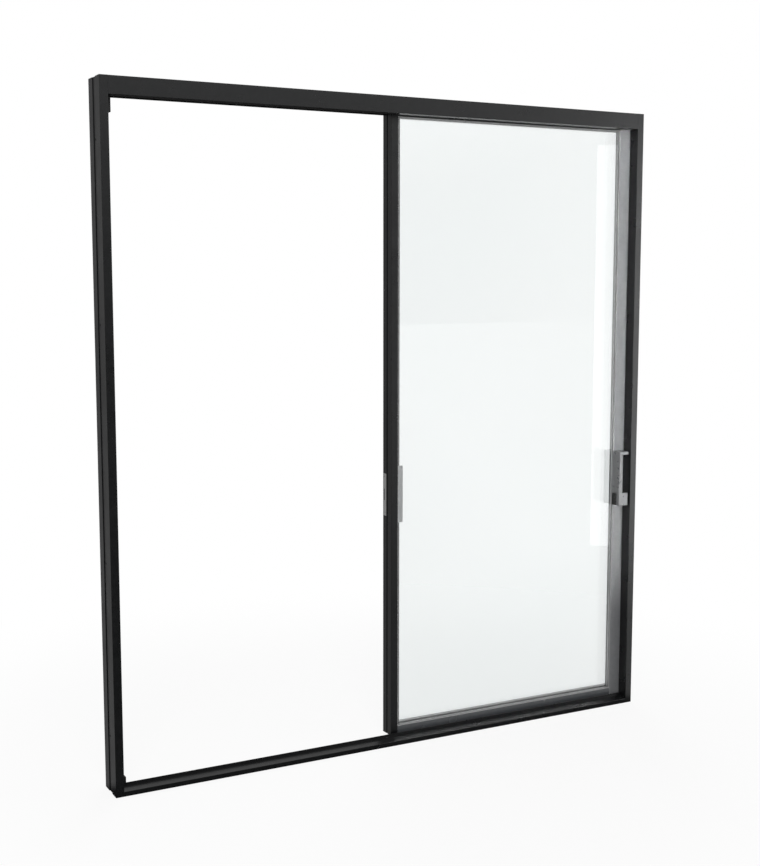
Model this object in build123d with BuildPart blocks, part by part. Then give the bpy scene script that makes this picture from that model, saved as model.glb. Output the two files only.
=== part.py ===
"""Aluminium patio sliding door: two glazed sashes on two tracks in a three-zone frame.

X runs to the right, Y away from the viewer and Z up. The origin is the middle of the sill's
bottom face. All sizes are in millimetres.
"""
from build123d import *
import os

os.makedirs("parts", exist_ok=True)

# Overall size of the frame
door_width = 2200.0
door_height = 2400.0

# Frame sections
wall = 2.5
jamb_face = 29.0
jamb_pocket = 10.0
pocket_wall = 4.0
front_zone = 45.0
flange = 3.0
anchor_groove_width = 33.0
anchor_groove_depth = 2.5
head_face = 60.0
head_flange_lift = 5.0
head_chamber = 16.0
fin_width = 4.0
fin_length = 27.0
sill_base = 2.0
sill_box_depth = 32.0
sill_box_height = 17.0
sill_slope_rise = 8.0
sill_wall = 2.0
upstand_height = 36.0
upstand_thickness = 2.5
frame_round = 1.2

# Running gaps between the sashes and the frame
front_gap = 5.0
sash_gap = 7.0
rear_gap = 7.0
pocket_gap = 5.0
fin_gap = 5.0

# Tracks
track_width = 4.0
track_top = 8.0
track_lip = 1.5
track_lip_height = 2.0

# Sashes
sash_depth = 28.0
sash_bottom = 22.0
head_grip = 32.0
meeting_overlap = 24.0
lock_stile_width = 52.0
interlock_width = 29.0
top_rail_height = 36.0
bottom_rail_height = 34.0
sash_wall = 2.0
glazing_pocket = 12.0
sash_round = 0.8
pile_groove_width = 5.0
pile_groove_depth = 1.2

# Double glazing
pane_thickness = 4.0
pane_cavity = 8.0
pane_edge_gap = 2.0
gasket_nose = 2.0
spacer_inset = 2.0
spacer_height = 10.0

# Rollers and top guides
wheel_tread_radius = 13.0
wheel_flange = 2.0
wheel_width = 9.0
wheel_play = 0.5
track_play = 0.3
axle_radius = 2.5
axle_play = 0.05
roller_length = 90.0
roller_cheek = 6.0
roller_inset = 140.0
guide_length = 44.0
guide_floor = 3.0
guide_play = 0.5

# Handle, lock and flush pull
handle_height = 946.0
handle_length = 221.0
handle_drop = 114.0
handle_reach = 45.0
handle_overhang = 5.0
front_handle_width = 45.0
rear_handle_width = 29.0
grip_thickness = 17.0
handle_arm = 12.0
lock_block_height = 52.0
handle_round = 1.5
turn_length = 47.0
turn_width = 28.0
turn_recess = 4.0
turn_proud = 1.5
turn_seat = 1.5
faceplate_length = 160.0
faceplate_width = 22.0
faceplate_thickness = 2.0
case_length = 130.0
case_thickness = 11.0
case_depth = 30.0
case_offset = 4.0
hook_slot_length = 44.0
hook_thickness = 5.0
hook_play = 0.6
pull_length = 216.0
front_pull_width = 34.0
rear_pull_width = 51.0
pull_edge_inset = 16.0
pull_proud = 1.0
pull_wall = 1.5
cup_length = 150.0
cup_width = 17.0
cup_depth = 10.0
cup_margin = 1.0
pull_round = 4.0

# Travel stops and frame screws
stop_width = 20.0
stop_reach = 23.0
top_stop_height = 50.0
bottom_stop_height = 48.0
screw_radius = 4.0
screw_end = 200.0
screw_middle = 800.0

# Places worked out from the sizes above
frame_depth = front_zone + front_gap + 2 * sash_depth + sash_gap + rear_gap + flange
half_width = door_width / 2
front_y = -frame_depth / 2
rear_y = frame_depth / 2
zone_y = front_y + front_zone
flange_y = rear_y - flange
front_run_y = zone_y + front_gap + sash_depth / 2
rear_run_y = front_run_y + sash_depth + sash_gap
jamb_inner = half_width - jamb_face
pocket_floor = jamb_inner + jamb_pocket
head_bottom = door_height - head_face
head_ceiling = door_height - head_chamber

sash_edge = pocket_floor - pocket_gap
sash_width = sash_edge + meeting_overlap / 2
sash_middle = sash_edge - sash_width / 2
sash_top = head_bottom + head_grip
sash_height = sash_top - sash_bottom
half_sash = sash_width / 2
half_depth = sash_depth / 2
lock_inner = half_sash - lock_stile_width
interlock_inner = interlock_width - half_sash
glass_middle = (lock_inner + interlock_inner) / 2
glass_sight_width = lock_inner - interlock_inner
rail_top = sash_bottom + bottom_rail_height
rail_underside = sash_top - top_rail_height
glass_sight_height = rail_underside - rail_top
glass_bite = glazing_pocket - pane_edge_gap
glass_face = pane_cavity / 2 + pane_thickness
lip_face = half_depth - sash_wall
channel_floor = rail_underside + glazing_pocket + sash_wall
channel_ceiling = rail_top - glazing_pocket - sash_wall
fin_notch = fin_width / 2 + fin_gap
pull_outer = half_sash - pull_edge_inset
pull_face = half_depth + pull_proud
cup_x = pull_outer - cup_margin - pull_wall - cup_width / 2

# The rear sash is the front one turned about, so its lock stile leads to the left.
sash_places = {
    "front": Location((sash_middle, front_run_y, 0)),
    "rear": Location((sash_middle, rear_run_y, 0), (0, 0, 180)),
}


def bar(x0, x1, y0, y1, mode=Mode.ADD):
    """Draw a rectangle in the open sketch between two corners."""
    with Locations(((x0 + x1) / 2, (y0 + y1) / 2)):
        Rectangle(abs(x1 - x0), abs(y1 - y0), mode=mode)


def block(x0, x1, y0, y1, z0, z1, mode=Mode.ADD):
    """Add a square block to the open part between two corners."""
    with Locations(((x0 + x1) / 2, (y0 + y1) / 2, (z0 + z1) / 2)):
        Box(abs(x1 - x0), abs(y1 - y0), abs(z1 - z0), mode=mode)


def hang_one(piece, sash, name):
    """Write a sash piece at its place in one of the sashes."""
    copy = piece.part.moved(sash_places[sash])
    copy.label = f"{sash}_{name}"
    export_step(copy, f"parts/{copy.label}.step")


def hang(piece, name):
    """Write a sash piece in the front sash and, turned about, in the rear sash."""
    for sash in sash_places:
        hang_one(piece, sash, name)


# Jambs: a closed front chamber, a pocket that takes the sashes, and a rear flange
def make_jamb(side, lock_y, slot_y):
    """One jamb with its keeper's seat and screw holes; side is 1 on the right, -1 on the left."""
    outer = side * half_width
    with BuildPart() as jamb:
        with BuildSketch():
            bar(outer, side * jamb_inner, front_y, zone_y)
            bar(outer, side * pocket_floor, zone_y, rear_y)
            bar(outer, side * jamb_inner, flange_y, rear_y)
            rounded = vertices().group_by(Axis.Y)[0] + vertices().group_by(Axis.Y)[-1]
            fillet(rounded, frame_round)
            bar(outer, outer - side * anchor_groove_depth, zone_y, zone_y + anchor_groove_width,
                mode=Mode.SUBTRACT)
            bar(outer - side * wall, side * (jamb_inner + wall), front_y + wall, zone_y - wall,
                mode=Mode.SUBTRACT)
            bar(outer - side * (anchor_groove_depth + wall), side * (pocket_floor + pocket_wall),
                zone_y, flange_y - wall, mode=Mode.SUBTRACT)
            bar(outer - side * wall, side * (pocket_floor + pocket_wall),
                zone_y + anchor_groove_width + wall, flange_y - wall, mode=Mode.SUBTRACT)
        extrude(amount=door_height)
        with Locations((side * pocket_floor, lock_y, handle_height)):
            Box(2 * faceplate_thickness, faceplate_width, faceplate_length, mode=Mode.SUBTRACT)
        with Locations((side * pocket_floor, slot_y, handle_height)):
            Box(4 * pocket_wall, hook_thickness + 2 * hook_play, hook_slot_length,
                mode=Mode.SUBTRACT)
        screw_y = zone_y + anchor_groove_width / 2
        for height in (screw_end, screw_middle, door_height - screw_middle, door_height - screw_end):
            with Locations(Plane((outer, screw_y, height), z_dir=(side, 0, 0))):
                Hole(screw_radius, depth=jamb_face)
    return jamb


left_jamb = make_jamb(-1, rear_run_y, rear_run_y + case_offset)
left_jamb.part.label = "left_jamb"
export_step(left_jamb.part, "parts/left_jamb.step")

right_jamb = make_jamb(1, front_run_y, front_run_y - case_offset)
right_jamb.part.label = "right_jamb"
export_step(right_jamb.part, "parts/right_jamb.step")

# Head: a closed front box, a hollow top plate and one guide fin over each track
with BuildPart() as head:
    with BuildSketch(Plane.YZ.offset(-pocket_floor)):
        bar(front_y, zone_y, head_bottom, door_height)
        bar(front_y, rear_y, head_ceiling, door_height)
        bar(flange_y, rear_y, head_bottom + head_flange_lift, door_height)
        fillet(vertices().group_by(Axis.X)[0] + vertices().group_by(Axis.X)[-1], frame_round)
        bar(front_y + wall, zone_y - wall, head_bottom + wall, head_ceiling, mode=Mode.SUBTRACT)
        bar(front_y + wall, rear_y - wall, head_ceiling + wall, door_height - wall, mode=Mode.SUBTRACT)
        for run_y in (front_run_y, rear_run_y):
            bar(run_y - fin_width / 2, run_y + fin_width / 2, head_ceiling - fin_length, head_ceiling)
    extrude(amount=2 * pocket_floor)
    for side in (-1, 1):
        block(side * jamb_inner, side * (pocket_floor + wall), front_y - wall, zone_y,
              head_bottom - wall, door_height + wall, mode=Mode.SUBTRACT)
        block(side * jamb_inner, side * (pocket_floor + wall), flange_y, rear_y + wall,
              head_bottom - wall, door_height + wall, mode=Mode.SUBTRACT)
head.part.label = "head"
export_step(head.part, "parts/head.step")

# Sill: a low front box that sheds water, an upstand against draughts and a thin floor under the tracks
sill_rear_y = rear_run_y + half_depth
upstand_y = front_y + sill_box_depth
with BuildPart() as sill:
    with BuildSketch(Plane.YZ.offset(-pocket_floor)):
        slope_top = sill_box_height + sill_slope_rise
        with BuildLine():
            Polyline((front_y, 0), (upstand_y, 0), (upstand_y, slope_top),
                     (front_y, sill_box_height), close=True)
        make_face()
        fillet(vertices().group_by(Axis.X)[0].sort_by(Axis.Y)[-1:], frame_round)
        bar(upstand_y, sill_rear_y, 0, sill_base)
        bar(upstand_y, upstand_y + upstand_thickness, 0, upstand_height)
        with BuildLine():
            Polyline((front_y + sill_wall, sill_wall), (upstand_y - sill_wall, sill_wall),
                     (upstand_y - sill_wall, slope_top - 1.5 * sill_wall),
                     (front_y + sill_wall, sill_box_height - sill_wall), close=True)
        make_face(mode=Mode.SUBTRACT)
        for run_y in (front_run_y, rear_run_y):
            for side in (-1, 1):
                edge_y = run_y + side * track_width / 2
                bar(edge_y, edge_y + side * track_lip, sill_base, sill_base + track_lip_height)
    extrude(amount=2 * pocket_floor)
    for side in (-1, 1):
        block(side * jamb_inner, side * (pocket_floor + wall), front_y - wall, zone_y,
              -wall, upstand_height + wall, mode=Mode.SUBTRACT)
sill.part.label = "sill"
export_step(sill.part, "parts/sill.step")

# Tracks: round-topped running rails between the lips of the sill's floor
for run, run_y in (("front", front_run_y), ("rear", rear_run_y)):
    with BuildPart() as track:
        with BuildSketch(Plane.YZ.offset(-pocket_floor)):
            bar(run_y - track_width / 2, run_y + track_width / 2, sill_base, track_top)
            fillet(vertices().group_by(Axis.Y)[-1], track_width / 2 - 0.1)
        extrude(amount=2 * pocket_floor)
    track.part.label = f"{run}_track"
    export_step(track.part, f"parts/{run}_track.step")


# Keepers: slotted plates let into the pocket floor of each jamb, facing the lock
def make_keeper(side, lock_y, slot_y):
    """The plate that the latch hook enters."""
    face = side * pocket_floor
    with BuildPart() as keeper:
        block(face, face + side * faceplate_thickness, lock_y - faceplate_width / 2,
              lock_y + faceplate_width / 2, handle_height - faceplate_length / 2,
              handle_height + faceplate_length / 2)
        with Locations((face, slot_y, handle_height)):
            Box(4 * faceplate_thickness, hook_thickness + 2 * hook_play, hook_slot_length,
                mode=Mode.SUBTRACT)
        fillet(edges().filter_by(Axis.X).group_by(Axis.Z)[0], pull_round)
        fillet(edges().filter_by(Axis.X).group_by(Axis.Z)[-1], pull_round)
    return keeper


left_keeper = make_keeper(-1, rear_run_y, rear_run_y + case_offset)
left_keeper.part.label = "left_keeper"
export_step(left_keeper.part, "parts/left_keeper.step")

right_keeper = make_keeper(1, front_run_y, front_run_y - case_offset)
right_keeper.part.label = "right_keeper"
export_step(right_keeper.part, "parts/right_keeper.step")

# Travel stops: two buffers on the left jamb that end the front sash's run
stop_face = -jamb_inner + stop_reach
with BuildPart() as travel_stops:
    for low, high in ((head_bottom - top_stop_height, head_bottom), (sill_base, bottom_stop_height)):
        block(-pocket_floor, stop_face, front_run_y - stop_width / 2, front_run_y + stop_width / 2,
              low, high)
    fillet(edges().filter_by(Axis.Y).group_by(Axis.X)[-1], frame_round)
    block(-pocket_floor, stop_face, front_run_y - track_width / 2 - track_lip,
          front_run_y + track_width / 2 + track_lip, 0, track_top, mode=Mode.SUBTRACT)
travel_stops.part.label = "travel_stops"
export_step(travel_stops.part, "parts/travel_stops.step")

# Lock stile: hollow, with the glazing pocket inward and the lock in its outer chamber
with BuildPart() as lock_stile:
    with BuildSketch(Plane.XY.offset(sash_bottom)):
        bar(lock_inner, half_sash, -half_depth, half_depth)
        fillet(vertices(), sash_round)
        bar(lock_inner, lock_inner + glazing_pocket, -lip_face, lip_face, mode=Mode.SUBTRACT)
        bar(lock_inner + glazing_pocket + sash_wall, half_sash - sash_wall, -lip_face, lip_face,
            mode=Mode.SUBTRACT)
    extrude(amount=sash_height)
    with Locations((half_sash, 0, handle_height)):
        Box(2 * faceplate_thickness, faceplate_width, faceplate_length, mode=Mode.SUBTRACT)
    with Locations((cup_x, half_depth, handle_height)):
        Box(cup_width + 2 * pull_wall, 4 * sash_wall, cup_length + 2 * pull_wall, mode=Mode.SUBTRACT)
    block(lock_inner, half_sash, -fin_notch, fin_notch, channel_floor, sash_top, mode=Mode.SUBTRACT)
hang(lock_stile, "lock_stile")

# Interlock stile: the slim meeting stile, grooved for a pile strip on the side of the other sash
with BuildPart() as interlock_stile:
    with BuildSketch(Plane.XY.offset(sash_bottom)):
        bar(-half_sash, interlock_inner, -half_depth, half_depth)
        fillet(vertices(), sash_round)
        bar(interlock_inner - glazing_pocket, interlock_inner, -lip_face, lip_face, mode=Mode.SUBTRACT)
        bar(-half_sash + sash_wall, interlock_inner - glazing_pocket - sash_wall, -lip_face, lip_face,
            mode=Mode.SUBTRACT)
        groove_x = -half_sash + (interlock_width - glazing_pocket) / 2
        bar(groove_x - pile_groove_width / 2, groove_x + pile_groove_width / 2,
            half_depth - pile_groove_depth, half_depth, mode=Mode.SUBTRACT)
    extrude(amount=sash_height)
    block(-half_sash, interlock_inner, -fin_notch, fin_notch, channel_floor, sash_top,
          mode=Mode.SUBTRACT)
hang(interlock_stile, "interlock_stile")

# Top rail: glazing pocket below, a channel above for the head's fin
with BuildPart() as top_rail:
    with BuildSketch(Plane.YZ.offset(interlock_inner)):
        bar(-half_depth, half_depth, rail_underside, sash_top)
        fillet(vertices(), sash_round)
        bar(-lip_face, lip_face, rail_underside, rail_underside + glazing_pocket, mode=Mode.SUBTRACT)
        bar(-lip_face, lip_face, channel_floor, sash_top, mode=Mode.SUBTRACT)
    extrude(amount=glass_sight_width)
hang(top_rail, "top_rail")

# Bottom rail: glazing pocket above, a channel below for the rollers
with BuildPart() as bottom_rail:
    with BuildSketch(Plane.YZ.offset(interlock_inner)):
        bar(-half_depth, half_depth, sash_bottom, rail_top)
        fillet(vertices(), sash_round)
        bar(-lip_face, lip_face, rail_top - glazing_pocket, rail_top, mode=Mode.SUBTRACT)
        bar(-lip_face, lip_face, sash_bottom, channel_ceiling, mode=Mode.SUBTRACT)
    extrude(amount=glass_sight_width)
hang(bottom_rail, "bottom_rail")

# Double glazing: two panes, the spacer between their edges and a gasket ring on each side
glass_centre = (glass_middle, (rail_top + rail_underside) / 2)
pane_width = glass_sight_width + 2 * glass_bite
pane_height = glass_sight_height + 2 * glass_bite
for name, inner_face in (("handle_side_pane", -pane_cavity / 2), ("pull_side_pane", glass_face)):
    with BuildPart() as pane:
        with BuildSketch(Plane.XZ.offset(-inner_face)):
            with Locations(glass_centre):
                Rectangle(pane_width, pane_height)
        extrude(amount=pane_thickness)
    hang(pane, name)

with BuildPart() as pane_spacer:
    with BuildSketch(Plane.XZ.offset(-pane_cavity / 2)):
        with Locations(glass_centre):
            Rectangle(pane_width - 2 * spacer_inset, pane_height - 2 * spacer_inset)
            Rectangle(pane_width - 2 * spacer_inset - 2 * spacer_height,
                      pane_height - 2 * spacer_inset - 2 * spacer_height, mode=Mode.SUBTRACT)
    extrude(amount=pane_cavity)
hang(pane_spacer, "pane_spacer")

with BuildPart() as glazing_gaskets:
    for outer_face in (-glass_face, lip_face):
        with BuildSketch(Plane.XZ.offset(-outer_face)):
            with Locations(glass_centre):
                Rectangle(pane_width, pane_height)
                Rectangle(glass_sight_width - 2 * gasket_nose, glass_sight_height - 2 * gasket_nose,
                          mode=Mode.SUBTRACT)
        extrude(amount=lip_face - glass_face)
hang(glazing_gaskets, "glazing_gaskets")

# Roller housings: two forks in the bottom channel, each with its axle
wheel_height = track_top + track_play + wheel_tread_radius
wheel_places = (interlock_inner + roller_inset, lock_inner - roller_inset)
slot_half = wheel_width / 2 + wheel_play
with BuildPart() as roller_housings:
    for x in wheel_places:
        block(x - roller_length / 2, x + roller_length / 2, -lip_face, lip_face, sash_bottom,
              channel_ceiling)
        with BuildSketch(Plane.XZ.offset(-(slot_half + roller_cheek))):
            with Locations((x, wheel_height)):
                Circle(roller_cheek)
            bar(x - roller_cheek, x + roller_cheek, wheel_height, channel_ceiling)
        extrude(amount=2 * (slot_half + roller_cheek))
        wheel_room = wheel_tread_radius + wheel_flange + 2 * wheel_play
        with Locations(Plane((x, 0, wheel_height), z_dir=(0, 1, 0))):
            Cylinder(wheel_room, 2 * slot_half, mode=Mode.SUBTRACT)
            Cylinder(axle_radius, 2 * slot_half)
hang(roller_housings, "roller_housings")

# Roller wheels: turned with a groove that straddles the track
with BuildPart() as roller_wheels:
    for x in wheel_places:
        with BuildSketch(Plane((x, 0, wheel_height), x_dir=(0, 1, 0), z_dir=(1, 0, 0))) as tread:
            with BuildLine():
                rim = wheel_tread_radius + wheel_flange
                groove = track_width / 2 + wheel_play
                Polyline(
                    (-wheel_width / 2, axle_radius + axle_play),
                    (wheel_width / 2, axle_radius + axle_play),
                    (wheel_width / 2, rim),
                    (groove + wheel_play, rim),
                    (groove, wheel_tread_radius),
                    (-groove, wheel_tread_radius),
                    (-groove - wheel_play, rim),
                    (-wheel_width / 2, rim),
                    close=True,
                )
            make_face()
        revolve(axis=Axis((x, 0, wheel_height), (0, 1, 0)))
hang(roller_wheels, "roller_wheels")

# Top guides: slotted blocks in the top channel that run on the head's fin
with BuildPart() as top_guides:
    for x in wheel_places:
        block(x - guide_length / 2, x + guide_length / 2, -lip_face, lip_face, channel_floor,
              sash_top)
        block(x - guide_length, x + guide_length, -fin_width / 2 - guide_play,
              fin_width / 2 + guide_play, channel_floor + guide_floor, sash_top, mode=Mode.SUBTRACT)
hang(top_guides, "top_guides")

# Pull handle: a tall grip fin with an arm at the top and the lock block at the foot
grip_x = lock_inner - handle_overhang
handle_low = handle_height - handle_drop
handle_high = handle_low + handle_length
turn_low = handle_low + (lock_block_height - turn_length) / 2


def make_handle(width):
    """The grip, whose arm and lock block reach width across the stile."""
    with BuildPart() as handle:
        with BuildSketch(Plane.XZ.offset(half_depth)):
            bar(grip_x, grip_x + grip_thickness, handle_low, handle_high)
            bar(grip_x, grip_x + width, handle_high - handle_arm, handle_high)
            bar(grip_x, grip_x + width, handle_low, handle_low + lock_block_height)
        extrude(amount=handle_reach)
        fillet(faces().sort_by(Axis.Y)[0].edges(), handle_round)
        block(grip_x, grip_x + turn_recess, -half_depth - turn_seat - turn_width,
              -half_depth - turn_seat, turn_low, turn_low + turn_length, mode=Mode.SUBTRACT)
    return handle


# The parked sash shows none of its handle past the stiles, so its arms are shorter.
hang_one(make_handle(front_handle_width), "front", "pull_handle")
hang_one(make_handle(rear_handle_width), "rear", "pull_handle")

# Thumb turn: a ribbed pad in the recess at the side of the lock block
with BuildPart() as thumb_turn:
    block(grip_x - turn_proud, grip_x + turn_recess, -half_depth - turn_seat - turn_width,
          -half_depth - turn_seat, turn_low, turn_low + turn_length)
    rib_pitch = turn_length / 8
    for step in range(1, 8):
        block(grip_x - turn_proud, grip_x, -half_depth - turn_seat - turn_width,
              -half_depth - turn_seat, turn_low + step * rib_pitch - turn_proud / 2,
              turn_low + step * rib_pitch + turn_proud / 2, mode=Mode.SUBTRACT)
hang(thumb_turn, "thumb_turn")

# Lock faceplate: let into the leading edge of the stile, slotted for the hook
plate_low = handle_height - faceplate_length / 2
plate_high = handle_height + faceplate_length / 2
with BuildPart() as lock_faceplate:
    block(half_sash - faceplate_thickness, half_sash, -faceplate_width / 2, faceplate_width / 2,
          plate_low, plate_high)
    with Locations((half_sash, -case_offset, handle_height)):
        Box(4 * faceplate_thickness, hook_thickness + 2 * hook_play, hook_slot_length,
            mode=Mode.SUBTRACT)
hang(lock_faceplate, "lock_faceplate")

# Lock case: the mortise lock behind the faceplate, with its hook drawn back into the slot
case_face = half_sash - faceplate_thickness
with BuildPart() as lock_case:
    block(case_face - case_depth, case_face, -case_offset - case_thickness / 2,
          -case_offset + case_thickness / 2, handle_height - case_length / 2,
          handle_height + case_length / 2)
    block(case_face, half_sash, -case_offset - hook_thickness / 2, -case_offset + hook_thickness / 2,
          handle_height - hook_slot_length / 2 + hook_play,
          handle_height + hook_slot_length / 2 - hook_play)
hang(lock_case, "lock_case")

# Flush pull: a thin plate with a sunk cup
def make_flush_pull(width):
    """The plate with its cup, which on a wide plate reaches past the stile in front of the glass."""
    inner = pull_outer - width
    with BuildPart() as pull:
        with BuildSketch(Plane.XZ.offset(-pull_face)):
            with Locations(((pull_outer + inner) / 2, handle_height)):
                RectangleRounded(width, pull_length, pull_round)
        extrude(amount=pull_proud)
        with Locations((cup_x, pull_face - (cup_depth + pull_wall) / 2, handle_height)):
            Box(cup_width + 2 * pull_wall, cup_depth + pull_wall, cup_length + 2 * pull_wall)
        with Locations((cup_x, pull_face - cup_depth / 2, handle_height)):
            Box(cup_width, cup_depth, cup_length, mode=Mode.SUBTRACT)
    return pull


hang_one(make_flush_pull(front_pull_width), "front", "flush_pull")
hang_one(make_flush_pull(rear_pull_width), "rear", "flush_pull")

print("frame", door_width, frame_depth, door_height, "sash", sash_width, sash_height)
print("front slide", round(sash_middle - half_sash - stop_face - pocket_gap, 3))
print("rear slide", round(sash_middle - half_sash + sash_edge, 3))
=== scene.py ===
# %% [markdown]
# # A black aluminium sliding door
#
# The door has a slim frame with two tracks. One glazed sash stands shut in the right half, and the
# other one is parked open right behind it, so the left half is a clear way through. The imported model
# already has every profile at its real size, so this lesson is about three things: finishes that
# behave like paint, glass and steel, the small screws, and a studio that black paint looks right in.

import math

import bpy
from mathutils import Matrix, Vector


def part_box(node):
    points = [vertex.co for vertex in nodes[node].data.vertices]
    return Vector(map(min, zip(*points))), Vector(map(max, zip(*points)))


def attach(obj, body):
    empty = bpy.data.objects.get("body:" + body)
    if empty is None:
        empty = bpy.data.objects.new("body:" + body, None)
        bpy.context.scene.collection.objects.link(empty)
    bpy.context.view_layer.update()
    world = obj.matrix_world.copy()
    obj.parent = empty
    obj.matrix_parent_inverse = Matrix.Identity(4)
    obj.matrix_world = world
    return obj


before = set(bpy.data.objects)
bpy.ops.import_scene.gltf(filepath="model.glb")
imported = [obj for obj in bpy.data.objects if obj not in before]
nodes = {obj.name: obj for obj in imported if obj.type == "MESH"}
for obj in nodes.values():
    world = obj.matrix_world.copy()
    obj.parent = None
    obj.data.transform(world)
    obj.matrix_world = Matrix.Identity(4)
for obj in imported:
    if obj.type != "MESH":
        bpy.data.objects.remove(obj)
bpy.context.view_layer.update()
bpy.ops.object.select_all(action="DESELECT")

# %% [markdown]
# ## How a finish is built
#
# Each finish is one Principled shader with a few texture nodes in front of it. All the patterns read
# Object coordinates: every piece of the door has its origin at the door's own, so one metre in the
# pattern is one metre on the door, and the grain runs on from one piece to the next.


# %% A blank finish
def new_finish(name, base, roughness, metallic=0.0):
    """A material with its Principled shader at plain values, which the noises then vary."""
    finish = bpy.data.materials.new(name)
    finish.use_nodes = True
    shader = finish.node_tree.nodes["Principled BSDF"]
    shader.inputs["Base Color"].default_value = (*base, 1)
    shader.inputs["Roughness"].default_value = roughness
    shader.inputs["Metallic"].default_value = metallic
    return finish, shader


# %% Noise with its own stretch
def add_noise(finish, scale, stretch=(1, 1, 1), detail=2.0):
    """A noise texture on Object coordinates, scale bumps to the metre, and its output socket."""
    tree = finish.node_tree
    place = tree.nodes.new("ShaderNodeTexCoord")
    turn = tree.nodes.new("ShaderNodeMapping")
    turn.inputs["Scale"].default_value = stretch
    noise = tree.nodes.new("ShaderNodeTexNoise")
    noise.inputs["Scale"].default_value = scale
    noise.inputs["Detail"].default_value = detail
    tree.links.new(place.outputs["Object"], turn.inputs["Vector"])
    tree.links.new(turn.outputs["Vector"], noise.inputs["Vector"])
    return noise.outputs["Fac"]


# %% Noise that changes the gloss or the colour
def vary_roughness(finish, shader, noise, low, high):
    """Let the noise move the roughness between two values."""
    spread = finish.node_tree.nodes.new("ShaderNodeMapRange")
    spread.inputs["From Min"].default_value = 0.3
    spread.inputs["From Max"].default_value = 0.7
    spread.inputs["To Min"].default_value = low
    spread.inputs["To Max"].default_value = high
    finish.node_tree.links.new(noise, spread.inputs["Value"])
    finish.node_tree.links.new(spread.outputs["Result"], shader.inputs["Roughness"])


def vary_colour(finish, shader, noise, dark, light):
    """Let the noise move the base colour between two values."""
    ramp = finish.node_tree.nodes.new("ShaderNodeValToRGB")
    ramp.color_ramp.elements[0].position = 0.3
    ramp.color_ramp.elements[0].color = (*dark, 1)
    ramp.color_ramp.elements[1].position = 0.7
    ramp.color_ramp.elements[1].color = (*light, 1)
    finish.node_tree.links.new(noise, ramp.inputs["Fac"])
    finish.node_tree.links.new(ramp.outputs["Color"], shader.inputs["Base Color"])


def add_bump(finish, shader, noise, height):
    """Raise the surface by the noise, in metres."""
    bump = finish.node_tree.nodes.new("ShaderNodeBump")
    bump.inputs["Strength"].default_value = 1.0
    bump.inputs["Distance"].default_value = height
    finish.node_tree.links.new(noise, bump.inputs["Height"])
    finish.node_tree.links.new(bump.outputs["Normal"], shader.inputs["Normal"])


# %% [markdown]
# ## Paint on the frame and the sashes
#
# The frame is powder coated deep black, and so are most bars of the sashes. Powder melts into a skin
# with a very fine ripple, like the peel of an orange, so the gloss is soft and its reflections shiver
# a little. In the photo the bottom rails turn pale wherever they mirror something bright, so theirs
# is a lighter, dark grey paint with a clear coat on the same shader, which gives a sharper gloss. The
# front lock stile is paler still: its satin grey is a painted reflection, a base colour set light to
# stand in for a pale gleam on it. The cast handles have a weaker clear coat and a finer, deeper
# grain.

# %% Frame paint
frame_paint, shader = new_finish("frame_paint", (0.005, 0.0053, 0.0057), 0.3)
vary_colour(frame_paint, shader, add_noise(frame_paint, 60),
            (0.0042, 0.0045, 0.0049), (0.006, 0.0063, 0.0068))
vary_roughness(frame_paint, shader, add_noise(frame_paint, 14), 0.26, 0.34)
add_bump(frame_paint, shader, add_noise(frame_paint, 700), 0.00002)
print("frame paint ready")

# %% Sash paint
sash_paint, shader = new_finish("sash_paint", (0.062, 0.066, 0.071), 0.25)
vary_colour(sash_paint, shader, add_noise(sash_paint, 40),
            (0.058, 0.062, 0.067), (0.066, 0.07, 0.075))
vary_roughness(sash_paint, shader, add_noise(sash_paint, 12), 0.2, 0.28)
add_bump(sash_paint, shader, add_noise(sash_paint, 500), 0.000012)
shader.inputs["IOR"].default_value = 1.8
shader.inputs["Coat Weight"].default_value = 1.0
shader.inputs["Coat Roughness"].default_value = 0.08
print("sash paint ready")

# %% Stile paint
# Its grey, lighter than the paint of the other bars, is a painted reflection on the front lock stile.
stile_paint, shader = new_finish("stile_paint", (0.15, 0.153, 0.158), 0.4)
vary_colour(stile_paint, shader, add_noise(stile_paint, 40),
            (0.14, 0.143, 0.148), (0.16, 0.163, 0.168))
vary_roughness(stile_paint, shader, add_noise(stile_paint, 12), 0.34, 0.44)
add_bump(stile_paint, shader, add_noise(stile_paint, 500), 0.000012)
print("stile paint ready")

# %% Handle paint
handle_paint, shader = new_finish("handle_paint", (0.062, 0.064, 0.068), 0.3)
vary_colour(handle_paint, shader, add_noise(handle_paint, 90),
            (0.056, 0.058, 0.062), (0.068, 0.07, 0.074))
vary_roughness(handle_paint, shader, add_noise(handle_paint, 50), 0.26, 0.36)
add_bump(handle_paint, shader, add_noise(handle_paint, 1100), 0.00002)
shader.inputs["IOR"].default_value = 1.8
shader.inputs["Coat Weight"].default_value = 0.6
shader.inputs["Coat Roughness"].default_value = 0.12
print("handle paint ready")

# %% [markdown]
# ## Glass
#
# Each sash has two sheets of float glass with air between them. The sheets are solid here, four
# millimetres thick, so light bends in and out of each one and every face mirrors its own four per
# cent, as in a real double pane. A trace of green in the colour is what the iron in float glass does.
# Even float glass is never quite flat, so a very long, low wave bends its reflections.

# %% Float glass
glass, shader = new_finish("glass", (0.988, 0.995, 0.994), 0.0)
shader.inputs["Transmission Weight"].default_value = 1.0
shader.inputs["IOR"].default_value = 1.5
vary_colour(glass, shader, add_noise(glass, 0.8), (0.985, 0.994, 0.993), (0.99, 0.996, 0.995))
add_bump(glass, shader, add_noise(glass, 1.4, detail=0.0), 0.0004)
print("glass ready")

# %% [markdown]
# ## Rubber, spacer and plastics
#
# The gasket is pale grey, matt rubber. The spacer between the sheets is mill-finish aluminium.
# Neither is black, because the photo shows no dark line round the glass. The nylon parts and the
# stops have the fine spark texture that a mould leaves.

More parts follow.
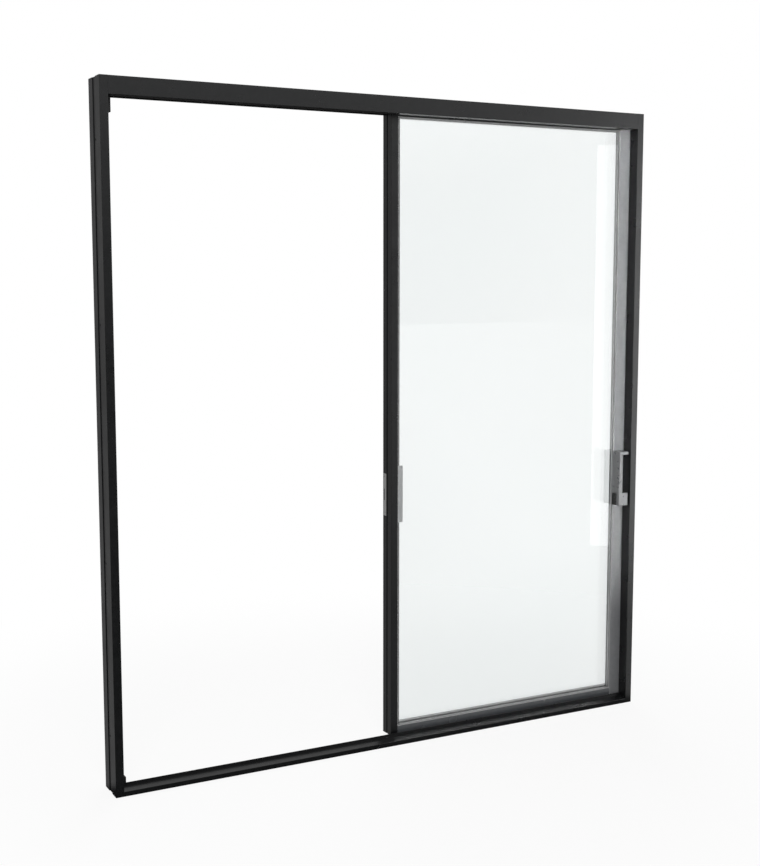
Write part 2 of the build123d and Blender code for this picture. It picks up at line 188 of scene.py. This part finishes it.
# %% Gasket rubber
gasket, shader = new_finish("gasket", (0.34, 0.34, 0.34), 0.7)
vary_colour(gasket, shader, add_noise(gasket, 35), (0.32, 0.32, 0.32), (0.36, 0.36, 0.36))
vary_roughness(gasket, shader, add_noise(gasket, 120), 0.62, 0.8)
add_bump(gasket, shader, add_noise(gasket, 1600), 0.00003)

# %% Spacer bar
spacer, shader = new_finish("spacer", (0.62, 0.62, 0.63), 0.4, metallic=0.7)
vary_colour(spacer, shader, add_noise(spacer, 30), (0.58, 0.58, 0.59), (0.66, 0.66, 0.67))
vary_roughness(spacer, shader, add_noise(spacer, 90), 0.34, 0.46)
add_bump(spacer, shader, add_noise(spacer, 900), 0.00001)


# %% Moulded plastics
def moulded(name, base, roughness):
    """A plastic with the spark texture of its mould."""
    plastic, shader = new_finish(name, base, roughness)
    dark = tuple(0.88 * c for c in base)
    light = tuple(1.12 * c for c in base)
    vary_colour(plastic, shader, add_noise(plastic, 70), dark, light)
    vary_roughness(plastic, shader, add_noise(plastic, 160), roughness - 0.06, roughness + 0.06)
    add_bump(plastic, shader, add_noise(plastic, 2200, detail=4.0), 0.00004)
    return plastic


nylon = moulded("nylon", (0.024, 0.024, 0.025), 0.5)
wheel_nylon = moulded("wheel", (0.6, 0.58, 0.53), 0.42)
black_plastic = moulded("black_plastic", (0.007, 0.007, 0.007), 0.45)
print("rubber and plastics ready")

# %% [markdown]
# ## Steel and aluminium
#
# Brushed steel has fine scratches that all run one way. A noise that is stretched far along the brush
# direction and squeezed across it gives them. The tracks are brushed along X, and the upright plates
# along Z, so there are two steels. The lock cases and the screws have an even grain. The flush pull
# is satin anodised aluminium. It is set paler and far less metallic than the real metal, because the
# photo shows it as a pale strip behind the glass.


# %% Brushed steels
def brushed(name, base, stretch, roughness, metallic=1.0):
    """Metal with its scratches along the axis where the stretch is smallest."""
    steel, shader = new_finish(name, base, roughness, metallic=metallic)
    scratches = add_noise(steel, 1500, stretch=stretch, detail=3.0)
    dark = tuple(0.82 * c for c in base)
    light = tuple(min(1.0, 1.15 * c) for c in base)
    vary_colour(steel, shader, scratches, dark, light)
    vary_roughness(steel, shader, add_noise(steel, 900, stretch=stretch),
                   roughness - 0.07, roughness + 0.07)
    add_bump(steel, shader, scratches, 0.000012)
    return steel


track_steel = brushed("track_steel", (0.5, 0.5, 0.49), (0.01, 1, 1), 0.36)
plate_steel = brushed("plate_steel", (0.78, 0.78, 0.77), (1, 1, 0.01), 0.34)
# The flush pull's pale, nearly matt grey is partly its satin aluminium and partly a painted sheen.
satin_metal = brushed("satin_metal", (0.86, 0.86, 0.87), (0.4, 0.4, 0.02), 0.42, metallic=0.15)
case_steel = brushed("case_steel", (0.2, 0.2, 0.2), (1, 1, 1), 0.55)
screw_steel = brushed("screw_steel", (0.6, 0.6, 0.59), (1, 1, 1), 0.3)
print("metals ready")

# %% [markdown]
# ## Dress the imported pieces
#
# The pieces of the frame are named plainly. The two sashes have the same set of pieces, so one table
# by the end of the name dresses both. Only their lock stiles differ in the photo, so these two are in
# the first table.

# %% Put each finish on its pieces
finish_by_piece = {
    "left_jamb": frame_paint, "right_jamb": frame_paint, "head": frame_paint, "sill": frame_paint,
    "front_track": track_steel, "rear_track": track_steel, "left_keeper": plate_steel,
    "right_keeper": plate_steel, "travel_stops": black_plastic,
    "front_lock_stile": stile_paint, "rear_lock_stile": frame_paint,
}
finish_by_sash_piece = {
    "interlock_stile": frame_paint, "top_rail": frame_paint, "bottom_rail": sash_paint,
    "handle_side_pane": glass, "pull_side_pane": glass,
    "pane_spacer": spacer, "glazing_gaskets": gasket, "roller_housings": nylon,
    "roller_wheels": wheel_nylon, "top_guides": nylon, "pull_handle": handle_paint,
    "thumb_turn": black_plastic, "lock_faceplate": plate_steel, "lock_case": case_steel,
    "flush_pull": satin_metal,
}
for sash in ("front", "rear"):
    for piece, finish in finish_by_sash_piece.items():
        finish_by_piece[f"{sash}_{piece}"] = finish
for name, finish in finish_by_piece.items():
    nodes[name].data.materials.clear()
    nodes[name].data.materials.append(finish)
print("dressed:", len(finish_by_piece), "of", len(nodes), "pieces")

# %% [markdown]
# ## Screws
#
# The screws are only 1 to 3 pixels wide in the photo, so their recess can't be seen, and they all get
# a low round head with a plain round socket. One head is modelled at the origin, looking along +Z: a
# cylinder, its rim bevelled, its top face inset and sunk. It is then copied, each copy with its own
# mesh, turned to its face and moved to its place.


# %% One screw head
def model_screw(name, radius, height, finish):
    """A low round head with a round socket, its seat at z = 0."""
    rim_bevel = 0.45 * height
    flat_rim = 0.25 * radius
    socket_slope = 0.1 * radius
    socket_depth = 0.5 * height
    bpy.ops.object.select_all(action="DESELECT")
    bpy.ops.mesh.primitive_cylinder_add(vertices=32, radius=radius, depth=height,
                                        location=(0, 0, height / 2))
    screw = bpy.context.object
    screw.name = name
    bpy.ops.object.mode_set(mode="EDIT")
    bpy.ops.mesh.select_all(action="DESELECT")
    bpy.ops.mesh.select_mode(type="FACE")
    bpy.ops.object.mode_set(mode="OBJECT")
    for face in screw.data.polygons:
        face.select = face.normal.z > 0.9
    bpy.ops.object.mode_set(mode="EDIT")
    bpy.ops.mesh.bevel(offset=rim_bevel, segments=3, affect="EDGES")
    bpy.ops.mesh.inset(thickness=flat_rim)
    bpy.ops.mesh.inset(thickness=socket_slope)
    bpy.ops.transform.translate(value=(0, 0, -socket_depth))
    bpy.ops.object.mode_set(mode="OBJECT")
    screw.data.materials.append(finish)
    return screw


plate_screw = model_screw("screw", radius=0.0036, height=0.0008, finish=screw_steel)
frame_screw = model_screw("anchor", radius=0.0068, height=0.0028, finish=screw_steel)
print("one screw head:", len(plate_screw.data.polygons), "faces")


# %% Copy a screw to its place
def set_screw(pattern, name, place, facing, body):
    """Copy the pattern, turn its +Z to facing, move it to place and let it ride on the body."""
    screw = pattern.copy()
    screw.data = pattern.data.copy()
    screw.name = name
    bpy.context.collection.objects.link(screw)
    turn = Vector(facing).to_track_quat("Z", "Y").to_matrix().to_4x4()
    turn.translation = Vector(place)
    screw.data.transform(turn)
    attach(screw, body)


# %% Where the screws sit, in metres: on the plates, in the pulls and in the jambs' pockets
from_plate_end = 0.012
from_pull_end = 0.016
from_pull_side = 0.011
seat_depth = 0.0003
pocket_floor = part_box("front_track")[1].x
frame_screw_heights = (0.2, 0.8, 1.6, 2.2)
print("the tracks end at the floors of the pockets, at x =", round(pocket_floor, 4))

# %% Screws of the sashes
# lead is 1 where the lock stile is the sash's right one, and -1 where it is the left one. The flush
# pull faces the same way along Y.
count = 0
for sash, lead in (("front", 1), ("rear", -1)):
    body = f"{sash}_sash"
    low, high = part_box(f"{sash}_lock_faceplate")
    face = high.x if lead > 0 else low.x
    for z in (low.z + from_plate_end, high.z - from_plate_end):
        place = (face - lead * seat_depth, (low.y + high.y) / 2, z)
        set_screw(plate_screw, f"{sash}_faceplate_screw_{count}", place, (lead, 0, 0), body)
        count += 1
    low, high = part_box(f"{sash}_flush_pull")
    face = high.y if lead > 0 else low.y
    across = high.x - from_pull_side if lead > 0 else low.x + from_pull_side
    for z in (low.z + from_pull_end, high.z - from_pull_end):
        place = (across, face - lead * seat_depth, z)
        set_screw(plate_screw, f"{sash}_pull_screw_{count}", place, (0, lead, 0), body)
        count += 1

# %% Screws of the frame
for side, inward in (("left", 1), ("right", -1)):
    low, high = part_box(f"{side}_keeper")
    face = high.x if inward > 0 else low.x
    for z in (low.z + from_plate_end, high.z - from_plate_end):
        place = (face - inward * seat_depth, (low.y + high.y) / 2, z)
        set_screw(plate_screw, f"{side}_keeper_screw_{count}", place, (inward, 0, 0), "frame")
        count += 1
    for z in frame_screw_heights:
        set_screw(frame_screw, f"{side}_frame_screw_{count}", (-inward * pocket_floor, 0.0, z),
                  (inward, 0, 0), "frame")
        count += 1
bpy.data.objects.remove(plate_screw)
bpy.data.objects.remove(frame_screw)
print("screws set:", count)

# %% [markdown]
# ## The studio
#
# Black paint has almost no colour of its own: what it shows is the room. So the studio is made for
# reflections. To a mirror, the room is white overhead and at the right front, grey and then pale
# behind the door, and nearly black at the left front. The camera meets a plain white backdrop, both
# directly and through the glass, whose four sheets dim it a little. A ray that has just left the glass
# always sees white, so a mirror behind the glass does too. A level of 1 is white, and no level is
# higher.
#
# The world's patterns read the direction of the ray as X, Y and Z, each from -1 to 1. A turn is the
# pair of places between which one level passes into the next, and a slant is how much of Y is added
# to X on the way from the dark side to the bright one.

# %% Levels of the world, and where one level turns into the next
white_level = 1.0
front_level = 1.0
dim_level = 0.05
back_level = 0.27
high_level = 0.8
ambient_level = 0.5

side_slant = 0.5
side_turn = (0.05, 0.3)
ceiling_turn = (0.05, 0.14)
far_sky_turn = (0.25, 0.6)
front_to_back = (-0.15, 0.35)

# %% World
world = bpy.data.worlds.new("studio")
bpy.context.scene.world = world
world.use_nodes = True
tree = world.node_tree
tree.nodes.clear()
out = tree.nodes.new("ShaderNodeOutputWorld")
sky = tree.nodes.new("ShaderNodeBackground")
sky.inputs["Color"].default_value = (1, 1, 1, 1)
path = tree.nodes.new("ShaderNodeLightPath")
way = tree.nodes.new("ShaderNodeTexCoord")
split = tree.nodes.new("ShaderNodeSeparateXYZ")
tree.links.new(way.outputs["Generated"], split.inputs["Vector"])
tree.links.new(sky.outputs["Background"], out.inputs["Surface"])


# %% A level between two others
def level_map(tree, value, low, high, start, end):
    """Map value from low..high to start..end, held at the ends."""
    node = tree.nodes.new("ShaderNodeMapRange")
    node.interpolation_type = "SMOOTHSTEP"
    for name, number in (("From Min", low), ("From Max", high), ("To Min", start), ("To Max", end)):
        node.inputs[name].default_value = number
    tree.links.new(value, node.inputs["Value"])
    return node.outputs["Result"]


def level_mix(tree, factor, off, on):
    """off where the factor is 0, on where it is 1; each is a socket or a number."""
    node = tree.nodes.new("ShaderNodeMix")
    tree.links.new(factor, node.inputs["Factor"])
    for socket, value in (("A", off), ("B", on)):
        if isinstance(value, (int, float)):
            node.inputs[socket].default_value = value
        else:
            tree.links.new(value, node.inputs[socket])
    return node.outputs["Result"]


# %% How bright each direction looks in a reflection
def level_sum(tree, first, second, weight):
    """first plus weight times second, both sockets."""
    node = tree.nodes.new("ShaderNodeMath")
    node.operation = "MULTIPLY_ADD"
    node.inputs[1].default_value = weight
    tree.links.new(second, node.inputs[0])
    tree.links.new(first, node.inputs[2])
    return node.outputs["Value"]


def larger(tree, first, second):
    """The larger of two levels."""
    node = tree.nodes.new("ShaderNodeMath")
    node.operation = "MAXIMUM"
    tree.links.new(first, node.inputs[0])
    tree.links.new(second, node.inputs[1])
    return node.outputs["Value"]


rightward = level_sum(tree, split.outputs["X"], split.outputs["Y"], side_slant)
beside = level_map(tree, rightward, *side_turn, dim_level, front_level)
above = level_map(tree, split.outputs["Z"], *ceiling_turn, 0.0, front_level)
behind = level_map(tree, split.outputs["Z"], *far_sky_turn, back_level, high_level)
mirrored = level_mix(tree, level_map(tree, split.outputs["Y"], *front_to_back, 0.0, 1.0),
                     larger(tree, beside, above), behind)


# %% What each kind of ray sees of the world
seen = level_mix(tree, path.outputs["Is Glossy Ray"], ambient_level, mirrored)
seen = level_mix(tree, path.outputs["Is Transmission Ray"], seen, white_level)
seen = level_mix(tree, path.outputs["Is Camera Ray"], seen, white_level)
tree.links.new(seen, sky.inputs["Strength"])
print("world ready")

# %% [markdown]
# ## The floor
#
# The floor mixes a matt shader, which takes the door's shadow, with a glow at a set level. A mirror
# sees the glow alone, with its own pattern of dark and bright floor, so that the low parts of the
# paint stay dark. The camera sees a white glow with a faint shadow near the door. Light that bounces
# straight off the floor comes from the matt shader alone.

# %% Floor
floor_width = 80
floor_drop = 0.0005

bpy.ops.object.select_all(action="DESELECT")
bpy.ops.mesh.primitive_plane_add(size=floor_width, location=(0, 0, -floor_drop))
floor = bpy.context.object
floor.name = "floor"
floor_finish = bpy.data.materials.new("floor_finish")
floor_finish.use_nodes = True
floor.data.materials.append(floor_finish)
tree = floor_finish.node_tree
tree.nodes.clear()
out = tree.nodes.new("ShaderNodeOutputMaterial")
path = tree.nodes.new("ShaderNodeLightPath")
matt = tree.nodes.new("ShaderNodeBsdfDiffuse")
matt.inputs["Color"].default_value = (0.8, 0.8, 0.8, 1)
glow = tree.nodes.new("ShaderNodeEmission")
blend = tree.nodes.new("ShaderNodeMixShader")
tree.links.new(matt.outputs["BSDF"], blend.inputs[1])
tree.links.new(glow.outputs["Emission"], blend.inputs[2])
tree.links.new(blend.outputs["Shader"], out.inputs["Surface"])

# %% Levels of the floor, and where one turns into the next, in metres
floor_dark = 0.05
floor_near = 0.35
floor_behind = 0.02
floor_gleam = 1.0

right_slant = 0.45
near_turn = (-1.0, 0.5)
far_turn = (-0.3, 1.6)
near_to_far = (-1.2, -2.8)
gleam_slant = 0.8
gleam_turn = (0.99, 1.03)
sill_strip = (-0.16, -0.1)
left_slant = 0.3
behind_turn = (-0.1, 1.0)
under_door = (0.0, 0.1)

# %% How bright the floor looks in a reflection
place = tree.nodes.new("ShaderNodeTexCoord")
spread = tree.nodes.new("ShaderNodeSeparateXYZ")
tree.links.new(place.outputs["Object"], spread.inputs["Vector"])
across, depth = spread.outputs["X"], spread.outputs["Y"]

rightward = level_sum(tree, across, depth, right_slant)
near_part = level_map(tree, rightward, *near_turn, floor_dark, floor_near)
far_part = level_map(tree, rightward, *far_turn, floor_dark, front_level)
in_front = level_mix(tree, level_map(tree, depth, *near_to_far, 0.0, 1.0), near_part, far_part)
past_glass = level_sum(tree, across, depth, gleam_slant)
in_front = larger(tree, in_front, level_map(tree, past_glass, *gleam_turn, 0.0, floor_gleam))
in_front = level_mix(tree, level_map(tree, depth, *sill_strip, 0.0, 1.0), in_front, floor_behind)
leftward = level_sum(tree, across, depth, left_slant)
behind = level_map(tree, leftward, *behind_turn, back_level, floor_behind)
mirrored = level_mix(tree, level_map(tree, depth, *under_door, 0.0, 1.0), in_front, behind)

# %% How bright it looks to the camera, through the glass too
shown = level_mix(tree, path.outputs["Is Glossy Ray"], white_level, mirrored)
shown = level_mix(tree, path.outputs["Is Transmission Ray"], shown, white_level)
tree.links.new(shown, glow.inputs["Strength"])

# %% The floor takes the door's shadow only close to it
shadow_share = 0.12
shadow_start = 1.0
shadow_reach = 2.6

away = tree.nodes.new("ShaderNodeVectorMath")
away.operation = "LENGTH"
tree.links.new(place.outputs["Object"], away.inputs[0])
near_share = level_map(tree, away.outputs["Value"], shadow_start, shadow_reach, 1 - shadow_share, 1.0)
glow_share = level_mix(tree, path.outputs["Is Camera Ray"], 0.0, near_share)
glow_share = level_mix(tree, path.outputs["Is Glossy Ray"], glow_share, 1.0)
glow_share = level_mix(tree, path.outputs["Is Transmission Ray"], glow_share, near_share)
tree.links.new(glow_share, blend.inputs["Fac"])
print("floor ready")


# %% [markdown]
# ## Lamps
#
# Four soft panels light the door. The key and the rim shape it from the front left and from behind.
# The gleam stands at the right front, and it is the only one that mirrors show: it gives the pale
# gleam on the right jamb and the handle. The strip is a narrow beam on the front lock stile. No panel
# shows to the camera, directly or through the glass.


# %% Soft panels
def soft_panel(name, place, aim, size, power):
    """A rectangular lamp at place that looks at aim; metres and watts."""
    lamp = bpy.data.lights.new(name, "AREA")
    lamp.shape = "RECTANGLE"
    lamp.size, lamp.size_y = size
    lamp.energy = power
    holder = bpy.data.objects.new(name, lamp)
    bpy.context.collection.objects.link(holder)
    holder.location = place
    holder.rotation_euler = (Vector(aim) - Vector(place)).to_track_quat("-Z", "Y").to_euler()
    holder.visible_camera = False
    holder.visible_transmission = False
    return holder


key = soft_panel("key", place=(-2.6, -5.2, 4.6), aim=(0, 0, 1.2), size=(3.0, 3.0), power=260)
rim = soft_panel("rim", place=(2.4, 4.2, 3.6), aim=(0, 0, 1.4), size=(2.5, 2.5), power=90)
soft_panel("gleam", place=(3.35, -2.3, 1.3), aim=(1.35, 0, 1.3), size=(1.1, 2.6), power=20)
strip = soft_panel("strip", place=(0.98, -1.3, 1.5), aim=(1.05, 0, 1.5), size=(0.08, 2.0), power=1.7)
strip.data.spread = math.radians(16)
for lamp in (key, rim, strip):
    lamp.visible_glossy = False
print("lamps ready")

# %% [markdown]
# ## The camera
#
# The camera stands at the left front, a little above eye height, and looks slightly down. Its place
# and lens were fitted to the corners of the frame, so the picture has the photograph's own
# perspective.

# %% Camera
camera_place = (-2.3386, -4.2903, 1.7525)
degrees_down = 6.66
degrees_right = 28.05

camera_data = bpy.data.cameras.new("camera")
camera_data.sensor_width = 36.0
camera_data.lens = 54.96
camera = bpy.data.objects.new("camera", camera_data)
bpy.context.collection.objects.link(camera)
camera.location = camera_place
camera.rotation_euler = (math.radians(90 - degrees_down), 0, math.radians(-degrees_right))
bpy.context.scene.camera = camera
bpy.context.scene.view_settings.view_transform = "Standard"
